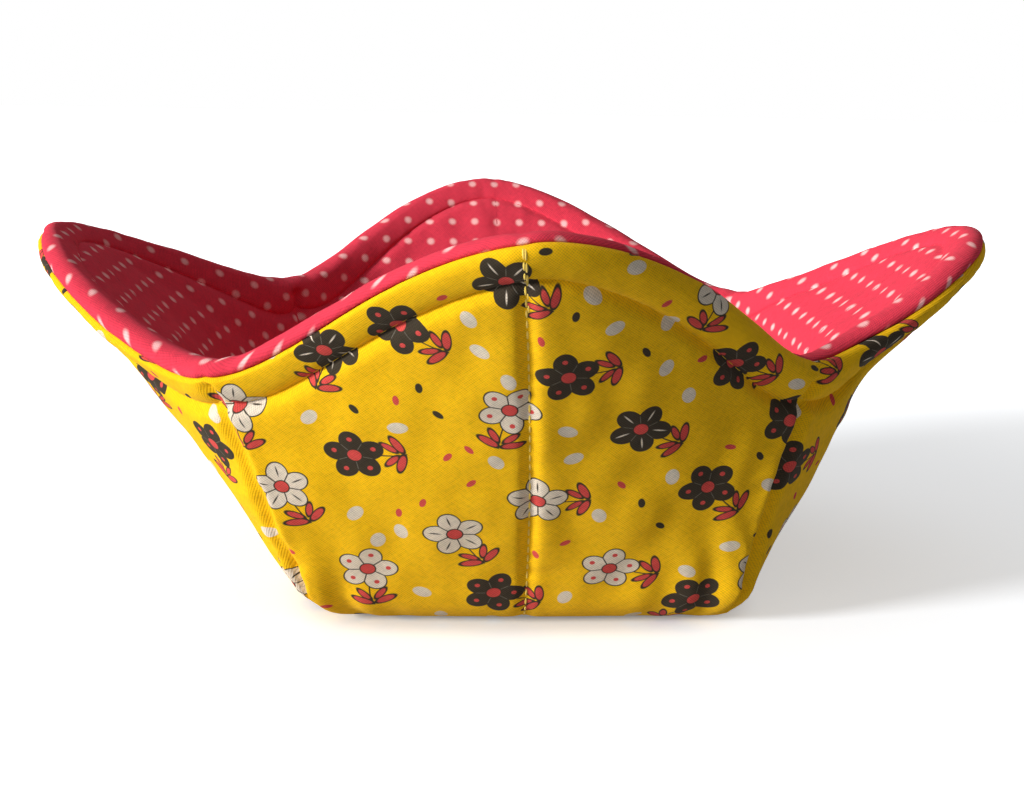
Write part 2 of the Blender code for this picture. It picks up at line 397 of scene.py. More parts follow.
def rim_band(side, across, depth):
    """Half thickness near the rim: a round band from the rim down to the topstitched crease."""
    crease = CREASE_HALF_AT_PEAK + (CREASE_HALF_IN_VALLEY - CREASE_HALF_AT_PEAK) * abs(across)
    if side < 0:
        crease = CREASE_HALF_INSIDE + 0 * across
    down = np.clip((depth - ROLL_RADIUS) / (STITCH_DEPTH - ROLL_RADIUS), 0, 1)
    band = crease + (ROLL_RADIUS - crease) * np.sqrt(1 - down**2)
    wall = WALL_HALF - (WALL_HALF - crease) * dip(np.maximum(0.0, depth - STITCH_DEPTH), CREASE_WIDTH)
    return np.where(depth < STITCH_DEPTH, band, wall)


Place = namedtuple("Place", "index side across along depth below_crease sideways from_quilting from_dart "
                            "on_wall off_floor")


def place_on_wall(index, side, across, along):
    """Where points of a face lie: depth below the rim, distances from the stitches, and so on."""
    wall = WALLS[index]
    depth = (rim_cloth(wall, across) - along) / rim_stretch(wall, across)
    half_width = BASE_HALF + np.maximum(along, -BASE_HALF) * WALL_SPREAD
    return Place(
        index=index,
        side=side,
        across=across,
        along=along,
        depth=depth,
        below_crease=np.maximum(0.0, depth - STITCH_DEPTH),
        sideways=across * half_width,
        from_quilting=abs(across) * half_width,
        from_dart=(1 - abs(across)) * half_width,
        on_wall=np.clip(along / FILLET_REACH, 0, 1),
        off_floor=np.clip(1 + along / FILLET_REACH, 0, 1),
    )


def puffed(at):
    """The batting's swell on the outside, away from the quilting and the topstitching."""
    puff = PUFF if at.side > 0 else 0.0
    away = np.clip(at.below_crease / PUFF_BELOW_CREASE, 0, 1)
    return puff * (1 - dip(at.from_quilting, PUFF_FROM_QUILTING)) * away * at.on_wall


def pressed(at):
    """The grooves that the quilting and the dart seams pull in."""
    quilting = QUILT_PRESS_INSIDE
    if at.side > 0:
        quilting = QUILT_PRESS * (1 - QUILT_PRESS_LESS_AT_BASE * dip(at.along, BASE_FILLET))
    groove = quilting * dip(at.from_quilting, QUILT_PRESS_WIDTH) * (at.depth > STITCH_DEPTH)
    return groove + DART_PRESS * dip(at.from_dart, DART_PRESS_WIDTH) * at.on_wall


def waved(at, seed):
    """Wide waves and smaller wrinkles over the open wall."""
    wave = crumple(at.sideways / WAVE_SIZE, at.along / WAVE_SIZE, seed + 7)
    wave = wave * np.clip(at.from_dart / WAVE_SIZE, 0, 1) * np.clip(at.below_crease / WAVE_SIZE, 0, 1)
    wrinkle = crumple(at.sideways / WRINKLE_SIZE, at.along / WRINKLE_LENGTH, seed + 11)
    wrinkle = wrinkle * np.clip(at.below_crease / WRINKLE_SIZE, 0, 1)
    return (WAVE_HEIGHT * wave + WRINKLE_HEIGHT * wrinkle) * at.on_wall


def folded(at):
    """Folds that run up beside a dart from the base's corner."""
    turns = (at.from_dart - CORNER_FOLD_SLANT * at.along) / CORNER_FOLD_SIZE
    fold = np.sin(2 * math.pi * turns + at.index)
    fold = fold * dip(at.from_dart, CORNER_FOLD_REACH) * dip(at.along - FILLET_REACH, CORNER_FOLD_REACH)
    return CORNER_FOLD_HEIGHT * fold * at.off_floor


def puckered(at, seed):
    """Short ripples beside the topstitching, the quilting and the dart seams."""
    by_rim = crumple(at.across * RIM_RUN / PUCKER_SIZE, at.depth / PUCKER_REACH, seed)
    by_rim = by_rim * dip(at.below_crease, PUCKER_REACH)
    by_quilting = crumple(at.along / PUCKER_SIZE, at.from_quilting / PUCKER_REACH, seed + 3)
    by_quilting = by_quilting * dip(at.from_quilting, PUCKER_REACH)
    by_dart = crumple(at.along / PUCKER_SIZE, at.from_dart / PUCKER_REACH, seed + 5)
    by_dart = by_dart * dip(at.from_dart - PUCKER_REACH / 2, PUCKER_REACH / 2) * at.on_wall
    return PUCKER_HEIGHT * (PUCKERS_AT_RIM * by_rim + by_quilting + PUCKERS_AT_DARTS * by_dart)


def half_thickness(index, side, across, along):
    """From the cloth's middle out to the face that shows, with all its relief."""
    at = place_on_wall(index, side, across, along)
    seed = 10.0 * index + side
    half = rim_band(side, across, at.depth) + puffed(at) - pressed(at)
    half = half + waved(at, seed) + folded(at) + puckered(at, seed)
    if side > 0:
        half = np.minimum(half, WALL_HALF + MM * at.off_floor)  # nothing reaches into the floor
    return np.maximum(half, LEAST_HALF)


def seam_angle(index, across):
    """Where the rim seam lies round the roll, from its outer side, from dart to peak to dart."""
    wall, before, after = WALLS[index], DARTS[index - 1], DARTS[index]
    return np.radians(np.interp(across, SEAM_PLACES, (before.seam, *wall.seams, after.seam)))


# The faces of a cloth

def columns():
    """Places across a wall, closer together at the darts and at the quilting."""
    even = np.linspace(-1, 1, COLUMNS + 1)
    return even - COLUMN_CROWDING * np.sin(2 * math.pi * even) / (2 * math.pi)


def roll_lumps(index, side, across, angle):
    """How far the roll stands out or in: lumps, puckers, folds in the valleys and pinches at seams."""
    lump = crumple(across * RIM_RUN / ROLL_LUMP_SIZE, angle, 40.0 + index)
    pucker = crumple(across * RIM_RUN / PUCKER_SIZE, angle, 50.0 + 10 * index + side)
    fold = crumple(across * RIM_RUN / VALLEY_FOLD_SIZE, 0.4 * angle, 90.0)
    from_dart = (1 - abs(across)) * RIM_RUN
    from_quilting = abs(across) * RIM_RUN
    return (
        ROLL_LUMP_HEIGHT * lump
        + PUCKERS_AT_RIM * PUCKER_HEIGHT * pucker * abs(np.cos(angle))
        + VALLEY_FOLD_HEIGHT * fold * dip(from_dart, VALLEY_FOLD_REACH)
        - DART_PINCH_AT_RIM * dip(from_dart, DART_PRESS_WIDTH)
        - QUILT_PINCH_AT_RIM * dip(from_quilting, QUILT_PRESS_WIDTH)
    )


def body_rows(index, across, skip):
    """Lengths up the cloth, row by row, from next to the base's middle to the foot of the roll."""
    wall = WALLS[index]
    rim, stretch = rim_cloth(wall, across), rim_stretch(wall, across)
    floor = np.linspace(-BASE_HALF, -FILLET_REACH, FLOOR_ROWS, endpoint=False)[1::skip, None]
    fillet = np.linspace(-FILLET_REACH, FILLET_REACH, FILLET_ROWS, endpoint=False)[::skip, None]
    share = np.linspace(0, 1, WALL_ROWS, endpoint=False)[::skip, None]
    climb = FILLET_REACH + share * (rim - GROOVE_FOOT * stretch - FILLET_REACH)
    above = np.linspace(1, 0, GROOVE_ROWS, endpoint=False)[::skip, None]
    groove = STITCH_DEPTH + (GROOVE_FOOT - STITCH_DEPTH) * above**1.5
    turn = np.linspace(0, math.pi / 2, BAND_ROWS, endpoint=False)[::skip, None]
    band = ROLL_RADIUS + (STITCH_DEPTH - ROLL_RADIUS) * np.cos(turn)
    flat = np.ones_like(across)
    return np.concatenate([floor * flat, fillet * flat, climb, rim - groove * stretch, rim - band * stretch])


def roll_rows(index, side, across, inset, short_of_seam, skip):
    """Depth below the rim, offset and arc length, row by row round the roll to near the rim seam."""
    start = 0.0 if side > 0 else math.pi
    end = seam_angle(index, across) - side * short_of_seam / ROLL_RADIUS
    angle = start + (end - start) * np.linspace(0, 1, ROLL_ROWS)[::skip, None]
    radius = ROLL_RADIUS - inset + roll_lumps(index, side, across, angle)
    radius = radius - SEAM_NOTCH * dip(abs(angle - end) * ROLL_RADIUS, SEAM_NOTCH_WIDTH)
    return ROLL_RADIUS - radius * np.sin(angle), radius * np.cos(angle), abs(angle - start) * ROLL_RADIUS


def face_grid(index, side, inset, skip=1):
    """Places on a face, from the base's middle up the wall and over the roll to the turned edge.

    Returns across, along, offset and flat height, each with a row for each step up the cloth.
    """
    wall = WALLS[index]
    across = columns()[None, :]
    rim, stretch = rim_cloth(wall, across), rim_stretch(wall, across)
    body = body_rows(index, across, skip)
    body_offset = side * (half_thickness(index, side, across, body) - inset)
    depth, roll_offset, arc = roll_rows(index, side, across, inset, SEAM_GAP, skip)
    tuck = np.array([ELBOW_DEPTH, TURNED_EDGE])[:, None] * np.ones_like(across)
    tuck_offset = side * (LAYER_GAP / 2 + inset) * np.ones_like(tuck)
    along = np.concatenate([body, rim - depth * stretch, rim - tuck * stretch])
    offset = np.concatenate([body_offset, roll_offset, tuck_offset])
    rolled = rim + (arc - ROLL_RADIUS) * stretch
    height = BASE_HALF + np.concatenate([body, rolled, rolled[-1] + (tuck + ROLL_RADIUS)])
    return across * np.ones_like(along), along, offset, height


def batting_grid(index, side, back):
    """Places on a layer of batting: the face against its cotton, or the back between the layers."""
    wall = WALLS[index]
    across = columns()[None, :]
    rim, stretch = rim_cloth(wall, across), rim_stretch(wall, across)
    body = body_rows(index, across, BATTING_SKIP)
    beside = side * (LAYER_GAP / 2 + BATTING_INSET)
    middle = side * LAYER_GAP / 2
    if back:
        below_edge = rim - (TURNED_EDGE + LAYER_GAP) * stretch
        body = np.minimum(body, below_edge)
        along = np.concatenate([body, below_edge, rim - ELBOW_DEPTH * stretch])
        offset = np.concatenate([middle * np.ones_like(body), beside * np.ones((2, 1)) * np.ones_like(rim)])
        return across * np.ones_like(along), along, offset, BASE_HALF + along
    body_offset = side * (half_thickness(index, side, across, body) - BATTING_INSET)
    depth, roll_offset, arc = roll_rows(index, side, across, BATTING_INSET, BATTING_SHORT, BATTING_SKIP)
    along = np.concatenate([body, rim - depth * stretch])
    offset = np.concatenate([body_offset, roll_offset])
    return across * np.ones_like(along), along, offset, BASE_HALF + along


def flat_place(index, sideways, height):
    """Where a point lies on the flat square, which has its corners at the peaks."""
    facing = math.radians(WALLS[index].facing)
    u = height * math.cos(facing) - sideways * math.sin(facing)
    v = height * math.sin(facing) + sideways * math.cos(facing)
    return np.stack([u, v], axis=-1)


def face_points(grids, every=1):
    """Points and flat places, each as walls x rows x columns, with the last column on the next dart."""
    points, places = [], []
    for index, grid in enumerate(grids):
        across, along, offset, height = (part[:, ::every] for part in grid)
        points.append(cloth_point(index, across, along, offset))
        places.append(flat_place(index, cloth_across(index, across, along), height))
    return np.stack(points), np.stack(places)


def in_scene(name, data):
    """A new object in the scene, for a mesh, a lamp or a camera."""
    item = bpy.data.objects.new(name, data)
    bpy.context.scene.collection.objects.link(item)
    return item


def closed_cloth(name, side, face, back, every=1):
    """A closed cloth from the grids of its face, over its top edge, to those of its back."""
    points, places = face_points(face, every)
    back_points, back_places = face_points(back, every)
    points = np.concatenate([points, back_points[:, ::-1]], axis=1)
    places = np.concatenate([places, back_places[:, ::-1]], axis=1)
    walls, rows, width = points.shape[:3]
    rings = np.concatenate(list(points[:, :, :-1]), axis=1)
    count = walls * (width - 1)
    vertices = rings.reshape(-1, 3)
    middles = rings[[0, -1]].mean(axis=1)
    vertices = np.concatenate([vertices, middles])
    here = np.arange(count)
    after = (here + 1) % count
    # quads from ring to ring, with each wall's own flat places, so the print breaks at a dart
    quads, quad_uv = [], []
    for row in range(rows - 1):
        low, high = row * count, (row + 1) * count
        quads.append(np.stack([low + here, low + after, high + after, high + here], axis=1))
        for wall in range(walls):
            low_uv, high_uv = places[wall, row], places[wall, row + 1]
            quad_uv.append(np.stack([low_uv[:-1], low_uv[1:], high_uv[1:], high_uv[:-1]], axis=1))
    # a fan closes the base at each end of the rows
    fans, fan_uv = [], []
    for end, row, first, second in ((0, 0, after, here), (1, rows - 1, here, after)):
        middle = np.full(count, rows * count + end)
        fans.append(np.stack([middle, row * count + first, row * count + second], axis=1))
        edge = places[:, row]
        one, two = (edge[:, 1:], edge[:, :-1]) if end == 0 else (edge[:, :-1], edge[:, 1:])
        one, two = one.reshape(-1, 2), two.reshape(-1, 2)
        fan_uv.append(np.stack([np.zeros_like(one), one, two], axis=1))
    faces = np.concatenate(quads).tolist() + np.concatenate(fans).tolist()
    uv = np.concatenate([np.concatenate(quad_uv).reshape(-1, 2), np.concatenate(fan_uv).reshape(-1, 2)])
    data = bpy.data.meshes.new(name)
    data.from_pydata(vertices.tolist(), [], faces)
    layer = data.uv_layers.new(name="cloth")
    layer.data.foreach_set("uv", uv.astype(np.float32).ravel())
    if side < 0:
        data.flip_normals()
    data.shade_smooth()
    return in_scene(name, data)


# Thread

def face_line(index, side, across, along):
    """Points on a face that shows, and its outward direction there."""
    offset = side * half_thickness(index, side, across, along)
    points = cloth_point(index, across, along, offset)
    ahead = cloth_point(index, across, along, offset + side * MM)
    outward = ahead - points
    return points, outward / np.linalg.norm(outward, axis=-1, keepdims=True)


def rim_line(side):
    """The topstitching's line round the whole rim."""
    lines = []
    across = np.linspace(-1, 1, RIM_POINTS, endpoint=False)
    for index, wall in enumerate(WALLS):
        along = rim_cloth(wall, across) - STITCH_DEPTH * rim_stretch(wall, across)
        lines.append(face_line(index, side, across, along))
    points, outward = (np.concatenate(part) for part in zip(*lines))
    return np.concatenate([points, points[:1]]), np.concatenate([outward, outward[:1]])


def quilting_line(index, side, over_roll):
    """The quilting's line from the base's middle up a wall, to the topstitching or over the roll."""
    lines = []
    for inset in (0.0, -MM):
        across, along, offset, _ = (part[:, COLUMNS // 2] for part in face_grid(index, side, inset))
        rows = len(along) - (3 if over_roll else ROLL_ROWS + 4)
        lines.append(cloth_point(index, across[:rows], along[:rows], offset[:rows]))
    outward = lines[1] - lines[0]
    return lines[0], outward / np.linalg.norm(outward, axis=-1, keepdims=True)


def backtack_line(index):
    """The second row of stitches that locks the quilting at the rim, beside the first."""
    points, outward = quilting_line(index, 1, True)
    from_top = np.linalg.norm(points - points[-1], axis=1)
    near = from_top < BACKTACK
    points, outward = points[near], outward[near]
    facing = math.radians(WALLS[index].facing)
    sideways = np.array([-math.sin(facing), math.cos(facing), 0.0])
    return points + BACKTACK_APART * sideways, outward


def stitch_mesh(name, lines, thread=THREAD, rise=0.0):
    """One mesh of short stitches along lines, each a bowed thread that dives in at its ends."""
    radius = thread / 2
    around = np.linspace(0, 2 * math.pi, STITCH_SIDES, endpoint=False)
    share = np.linspace(0, 1, STITCH_RINGS)
    vertices, faces = [], []
    for points, outward in lines:
        steps = np.linalg.norm(np.diff(points, axis=0), axis=1)
        place = np.concatenate([[0.0], np.cumsum(steps)])
        number = int(place[-1] / (STITCH + STITCH_GAP))
        pitch = place[-1] / number
        for count in range(number):
            at = pitch * count + (pitch - STITCH_GAP) * share
            centre = np.stack([np.interp(at, place, points[:, axis]) for axis in range(3)], axis=-1)
            up = np.stack([np.interp(at, place, outward[:, axis]) for axis in range(3)], axis=-1)
            ahead = np.gradient(centre, axis=0)
            ahead /= np.linalg.norm(ahead, axis=1, keepdims=True)
            sideways = np.cross(ahead, up)
            bow = np.sin(math.pi * share)[:, None]
            centre = centre + up * (rise * bow**0.6 - STITCH_SUNK * radius)
            size = radius * (STITCH_END + (1 - STITCH_END) * bow**0.5)
            ring = (
                centre[:, None]
                + (size * np.cos(around))[..., None] * sideways[:, None]
                + (size * np.sin(around))[..., None] * up[:, None]
            )
            first = len(vertices)
            vertices.extend(ring.reshape(-1, 3).tolist())
            for start in range(first, len(vertices) - STITCH_SIDES, STITCH_SIDES):
                for turn in range(STITCH_SIDES):
                    a, b = start + turn, start + (turn + 1) % STITCH_SIDES
                    faces.append((a, b, b + STITCH_SIDES, a + STITCH_SIDES))
            faces.append(tuple(range(first, first + STITCH_SIDES))[::-1])
            faces.append(tuple(range(len(vertices) - STITCH_SIDES, len(vertices))))
    data = bpy.data.meshes.new(name)
    data.from_pydata(vertices, [], faces)
    data.flip_normals()
    data.shade_smooth()
    return in_scene(name, data)


# Materials

class Term:
    """A number in a material's node tree that takes part in plain arithmetic."""

    def __init__(self, tree, socket):
        self.tree = tree
        self.socket = socket

    def of(self, operation, *others):
        node = self.tree.nodes.new("ShaderNodeMath")
        node.operation = operation
        for slot, value in enumerate((self, *others)):
            if isinstance(value, Term):
                self.tree.links.new(value.socket, node.inputs[slot])
            else:
                node.inputs[slot].default_value = value
        return Term(self.tree, node.outputs[0])

    def __add__(self, other):
        return self.of("ADD", other)

    def __sub__(self, other):
        return self.of("SUBTRACT", other)

    def __mul__(self, other):
        return self.of("MULTIPLY", other)

    def __truediv__(self, other):
        return self.of("DIVIDE", other)

    def inverse(self):
        """1 where a mask is 0, and 0 where it is 1."""
        return self * -1.0 + 1.0

    def below(self, edge, soft):
        """1 where this is well below the edge, falling to 0 above it over a soft width."""
        node = self.tree.nodes.new("ShaderNodeMapRange")
        node.interpolation_type = "SMOOTHSTEP"
        self.tree.links.new(self.socket, node.inputs["Value"])
        for name, value in (("From Min", edge - soft / 2), ("From Max", edge + soft / 2)):
            node.inputs[name].default_value = value
        node.inputs["To Min"].default_value = 1.0
        node.inputs["To Max"].default_value = 0.0
        return Term(self.tree, node.outputs["Result"])


def mixed(terms, shares):
    """The sum of terms, each times its share."""
    first, *rest = [term * share for term, share in zip(terms, shares)]
    return sum(rest, first)


class Finish:
    """A cloth material under way: its tree, its flat coordinates in millimetres and its colour."""

    def __init__(self, name, colour, roughness, sheen):
        self.material = bpy.data.materials.new(name)
        self.material.use_nodes = True
        self.tree = self.material.node_tree
        self.surface = self.tree.nodes["Principled BSDF"]
        self.surface.inputs["Roughness"].default_value = roughness
        self.surface.inputs["Sheen Weight"].default_value = sheen
        self.surface.inputs["Sheen Roughness"].default_value = 0.5
        self.surface.inputs["Specular IOR Level"].default_value = 0.1
        base = self.tree.nodes.new("ShaderNodeRGB")
        base.outputs[0].default_value = (*colour, 1.0)
        self.colour = base.outputs[0]

    def flat(self):
        """The flat coordinates of the cloth, in millimetres."""
        uv = self.tree.nodes.new("ShaderNodeUVMap")
        uv.uv_map = "cloth"
        return self.scaled(uv.outputs["UV"], 1000.0)

    def scaled(self, vector, factor):
        node = self.tree.nodes.new("ShaderNodeVectorMath")
        node.operation = "SCALE"
        self.tree.links.new(vector, node.inputs[0])
        node.inputs["Scale"].default_value = factor
        return node.outputs[0]

    def minus(self, first, second):
        node = self.tree.nodes.new("ShaderNodeVectorMath")
        node.operation = "SUBTRACT"
        self.tree.links.new(first, node.inputs[0])
        self.tree.links.new(second, node.inputs[1])
        return node.outputs[0]

    def turned(self, vector, degrees):
        node = self.tree.nodes.new("ShaderNodeMapping")
        node.vector_type = "POINT"
        node.inputs["Rotation"].default_value[2] = math.radians(degrees)
        self.tree.links.new(vector, node.inputs["Vector"])
        return node.outputs[0]

    def parts(self, vector):
        node = self.tree.nodes.new("ShaderNodeSeparateXYZ")
        self.tree.links.new(vector, node.inputs[0])
        return [Term(self.tree, output) for output in node.outputs]

    def joined(self, x, y):
        node = self.tree.nodes.new("ShaderNodeCombineXYZ")
        self.tree.links.new(x.socket, node.inputs[0])
        self.tree.links.new(y.socket, node.inputs[1])
        return node.outputs[0]

    def cells(self, vector, size, randomness):
        """Scattered cell middles about a size apart: the nearest one's place and its random numbers."""
        node = self.tree.nodes.new("ShaderNodeTexVoronoi")
        node.voronoi_dimensions = "2D"
        node.inputs["Scale"].default_value = 1.0 / size
        node.inputs["Randomness"].default_value = randomness
        self.tree.links.new(vector, node.inputs["Vector"])
        split = self.tree.nodes.new("ShaderNodeSeparateColor")
        self.tree.links.new(node.outputs["Color"], split.inputs[0])
        return node.outputs["Position"], [Term(self.tree, output) for output in split.outputs]

    def cloudy(self, vector, size):
        """Soft noise from 0 to 1, with features about a size across."""
        node = self.tree.nodes.new("ShaderNodeTexNoise")
        node.noise_dimensions = "2D"
        node.inputs["Scale"].default_value = 1.0 / size
        node.inputs["Detail"].default_value = 2.0
        self.tree.links.new(vector, node.inputs["Vector"])
        return Term(self.tree, node.outputs["Fac"])

    def rotated(self, vector, angle):
        """A place turned by an angle in radians that differs from cell to cell."""
        x, y, _ = self.parts(vector)
        cosine, sine = angle.of("COSINE"), angle.of("SINE")
        return x * cosine + y * sine, y * cosine - x * sine

    def paint(self, colour, mask):
        """Lays a colour over what is there, where the mask is 1."""
        node = self.tree.nodes.new("ShaderNodeMix")
        node.data_type = "RGBA"
        self.tree.links.new(mask.socket, node.inputs["Factor"])
        self.tree.links.new(self.colour, node.inputs["A"])
        node.inputs["B"].default_value = (*colour, 1.0)
        self.colour = node.outputs["Result"]

    def shade(self, amount):
        """Multiplies the colour by a number near 1, for painted shade and tone that varies at random."""
        node = self.tree.nodes.new("ShaderNodeVectorMath")
        node.operation = "SCALE"
        self.tree.links.new(self.colour, node.inputs[0])
        self.tree.links.new(amount.socket, node.inputs["Scale"])
        self.colour = node.outputs[0]

    def bump(self, amount, strength, height):
        """Relief in the shading alone, for what is finer than the mesh."""
        node = self.tree.nodes.new("ShaderNodeBump")
        node.inputs["Strength"].default_value = strength
        node.inputs["Distance"].default_value = height
        self.tree.links.new(amount.socket, node.inputs["Height"])
        self.tree.links.new(node.outputs["Normal"], self.surface.inputs["Normal"])

    def weave(self):
        """Threads on both grains, 45 degrees to the walls, in the bump and as painted shade in the colour."""
        grain = self.turned(self.flat(), 45)
        x, y, _ = self.parts(grain)
        warp = (x * (math.pi / WEAVE_PITCH)).of("SINE").of("ABSOLUTE")
        weft = (y * (math.pi / WEAVE_PITCH)).of("SINE").of("ABSOLUTE")
        slub_x = self.cloudy(self.joined(x, y * SLUB_ALONG), SLUB_SIZE)
        slub_y = self.cloudy(self.joined(x * SLUB_ALONG, y), SLUB_SIZE)
        layers = (warp, weft, slub_x + slub_y, self.cloudy(grain, FUZZ_SIZE))
        # painted shade between the threads, with slubs and fuzz that vary the tone at random
        self.shade(mixed(layers, WEAVE_PAINTED_SHADE) + WEAVE_DARKEST)
        self.bump(mixed(layers, WEAVE_BUMP), 0.8, WEAVE_HEIGHT)

    def done(self):
        self.tree.links.new(self.colour, self.surface.inputs["Base Color"])
        return self.material


def length(x, y):
    return (x * x + y * y).of("SQRT")


def oval(x, y, half_long, half_short):
    """Roughly the distance in millimetres outside an oval."""
    return (length(x / half_long, y / half_short) - 1.0) * half_short


def leaf_shape(x, y, leaf):
    """Roughly the distance outside a leaf and its mirror image across the stem."""
    slope = math.radians(leaf.slope)
    out, up = x.of("ABSOLUTE") - leaf.out, y + leaf.down
    along = out * math.cos(slope) + up * math.sin(slope)
    beside = up * math.cos(slope) - out * math.sin(slope)
    return oval(along, beside, leaf.half_long, leaf.half_short)


def posy_shapes(x, y):
    """Distances outside a posy's petals, lines between, spots, veins, stem and leaves, and from its eye."""
    up = y - EYE_UP
    from_eye = length(x, up)
    half_turn = math.pi / PETALS
    fold = up.of("ARCTAN2", x).of("PINGPONG", half_turn)
    petal_x, petal_y = from_eye * fold.of("COSINE"), from_eye * fold.of("SINE")
    petals = oval(petal_x - PETAL_OUT, petal_y, *PETAL_HALVES).of("MINIMUM", from_eye - PETALS_MEET)
    between = (petal_x * math.sin(half_turn) - petal_y * math.cos(half_turn)).of("ABSOLUTE")
    spots = length(petal_x - SPOT_OUT, petal_y) - SPOT_RADIUS
    veins = oval(petal_x - VEIN_OUT, petal_y, *VEIN_HALVES)
    sway = (y * 0.35).of("SINE") * 0.4
    stem = (x - sway).of("ABSOLUTE").of("MAXIMUM", y.of("ABSOLUTE") - STEM_REACH) - STEM_HALF
    low, high = (leaf_shape(x, y, leaf) for leaf in LEAVES)
    return petals, between, spots, veins, stem, low.of("MINIMUM", high), from_eye


def scatter_ovals(finish, flat):
    """Small ovals in cream, ink and red between the posies."""
    place, random = finish.cells(flat, OVAL_PITCH, OVAL_RANDOMNESS)
    x, y = finish.rotated(finish.minus(flat, place), random[0] * (2 * math.pi))
    posy, _ = finish.cells(place, POSY_PITCH, POSY_RANDOMNESS)
    from_posy_x, from_posy_y, _ = finish.parts(finish.minus(place, posy))
    clear = length(from_posy_x, from_posy_y).below(OVALS_FROM_POSY, END_EDGE).inverse()
    for kind in OVALS:
        chosen = random[1].below(kind.high, SHARP) * random[1].below(kind.low, SHARP).inverse()
        spot = oval(x, y, kind.half_long, kind.half_short).below(0.0, PRINT_EDGE)
        finish.paint(kind.colour, spot * chosen * clear)


def printed_cotton():
    """Yellow cotton with posies in ink, cream and red, and small ovals scattered between them."""
    finish = Finish("printed_cotton", YELLOW, COTTON_ROUGHNESS, COTTON_SHEEN)
    flat = finish.turned(finish.flat(), PRINT_TURN)
    scatter_ovals(finish, flat)
    place, random = finish.cells(flat, POSY_PITCH, POSY_RANDOMNESS)
    x, down = finish.rotated(finish.minus(flat, place), (random[0] - 0.5) * POSY_SWING)
    y = down * -1.0
    petals, between, spots, veins, stem, leaves, from_eye = posy_shapes(x, y)
    dark = random[1].below(DARK_POSIES, SHARP)
    spotted = random[2].below(SPOTTED_POSIES, SHARP)
    light, veined = dark.inverse(), spotted.inverse()
    line = INK_LINE / 2
    finish.paint(INK, stem.below(0.0, PRINT_EDGE) * y.below(0.0, END_EDGE))
    finish.paint(INK, leaves.below(line, PRINT_EDGE))
    finish.paint(POPPY, leaves.below(-line, PRINT_EDGE))
    finish.paint(INK, petals.below(line, PRINT_EDGE))
    inside = petals.below(-line, PRINT_EDGE)
    finish.paint(CREAM, inside * light)
    finish.paint(INK, between.below(line, PRINT_EDGE) * inside)
    finish.paint(GREY, between.below(0.5 * line, PRINT_EDGE) * inside * dark)
    finish.paint(POPPY, spots.below(0.0, PRINT_EDGE) * spotted)
    vein = veins.below(0.0, PRINT_EDGE) * veined
    finish.paint(INK, vein * light)
    finish.paint(CREAM, vein * dark)
    finish.paint(INK, from_eye.below(EYE_RADIUS + INK_LINE, PRINT_EDGE))
    finish.paint(POPPY, from_eye.below(EYE_RADIUS, PRINT_EDGE))
    finish.weave()
    return finish.done()


def dotted_cotton():
    """Crimson cotton with pale dots on a square grid in line with the walls."""
    finish = Finish("dotted_cotton", CRIMSON, COTTON_ROUGHNESS, COTTON_SHEEN)
    x, y, _ = finish.parts(finish.flat())
    near_x = (x / DOT_PITCH).of("PINGPONG", 0.5) * DOT_PITCH
    near_y = (y / DOT_PITCH).of("PINGPONG", 0.5) * DOT_PITCH
    finish.paint(DOT_WHITE, length(near_x, near_y).below(DOT_RADIUS, DOT_EDGE))
    finish.weave()
    return finish.done()


def plain_material(name, colour, roughness, grain, height):
    """Thread or batting: one colour, with fibres in its bump and as painted shade in its colour."""
    finish = Finish(name, colour, roughness, 0.2)
    coordinates = finish.tree.nodes.new("ShaderNodeTexCoord").outputs["Object"]
    node = finish.tree.nodes.new("ShaderNodeTexNoise")
    node.inputs["Scale"].default_value = 1.0 / grain
    node.inputs["Detail"].default_value = 3.0
    finish.tree.links.new(coordinates, node.inputs["Vector"])
    fibre = Term(finish.tree, node.outputs["Fac"])
    # painted shade, darker where the fibres' bump is lower, which also varies the tone at random
    finish.shade(fibre * 0.3 + 0.85)
    finish.bump(fibre, 0.5, height)
    return finish.done()


# The pieces

def dress(piece, material, nodes=()):
    """Gives a piece its material and its place in the object, for the CAD nodes that it replaces."""
    piece.data.materials.append(material)
    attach(piece, "root")
    if nodes:
        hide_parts(*nodes)
    return piece


def cotton(name, side):
    """One of the two cottons, outside or inside, as a closed cloth of its own thickness."""
    walls = range(len(WALLS))
    face = [face_grid(index, side, 0.0) for index in walls]
    back = [face_grid(index, side, COTTON, skip=2) for index in walls]
    piece = closed_cloth(name, side, face, back)
    return piece


def batting(name, side):
    """One of the two layers of batting, between its cotton and the other layer."""
    walls = range(len(WALLS))
    face, back = ([batting_grid(index, side, side_of) for index in walls] for side_of in (False, True))
    piece = closed_cloth(name, side, face, back, every=BATTING_SKIP)
    return piece


def make_cloths():
    dress(cotton("printed_outside", 1), printed_cotton(), ["outer_cover"])
    dress(cotton("dotted_inside", -1), dotted_cotton(), ["lining"])
    wadding = plain_material("cotton_batting", WADDING, 0.95, *BATTING_FIBRES)
    dress(batting("batting_outside", 1), wadding, ["outer_batting"])
    dress(batting("batting_inside", -1), wadding, ["lining_batting"])


def make_thread():
    yellow_thread = plain_material("yellow_thread", YELLOW_THREAD, 0.6, *THREAD_FIBRES)
    golden_thread = plain_material("golden_thread", GOLDEN_THREAD, 0.7, *THREAD_FIBRES)
    red_thread = plain_material("red_thread", RED_THREAD, 0.7, *THREAD_FIBRES)
    walls = range(len(WALLS))
    dress(stitch_mesh("rim_topstitch_outside", [rim_line(1)]), golden_thread)
    dress(stitch_mesh("rim_topstitch_inside", [rim_line(-1)]), red_thread)
    outside = [quilting_line(index, 1, True) for index in walls] + [backtack_line(index) for index in walls]
    dress(stitch_mesh("quilting_outside", outside, QUILT_THREAD, QUILT_THREAD_RISE),
          yellow_thread)
    inside = [quilting_line(index, -1, False) for index in walls]
    dress(stitch_mesh("quilting_inside", inside), red_thread)


# The studio

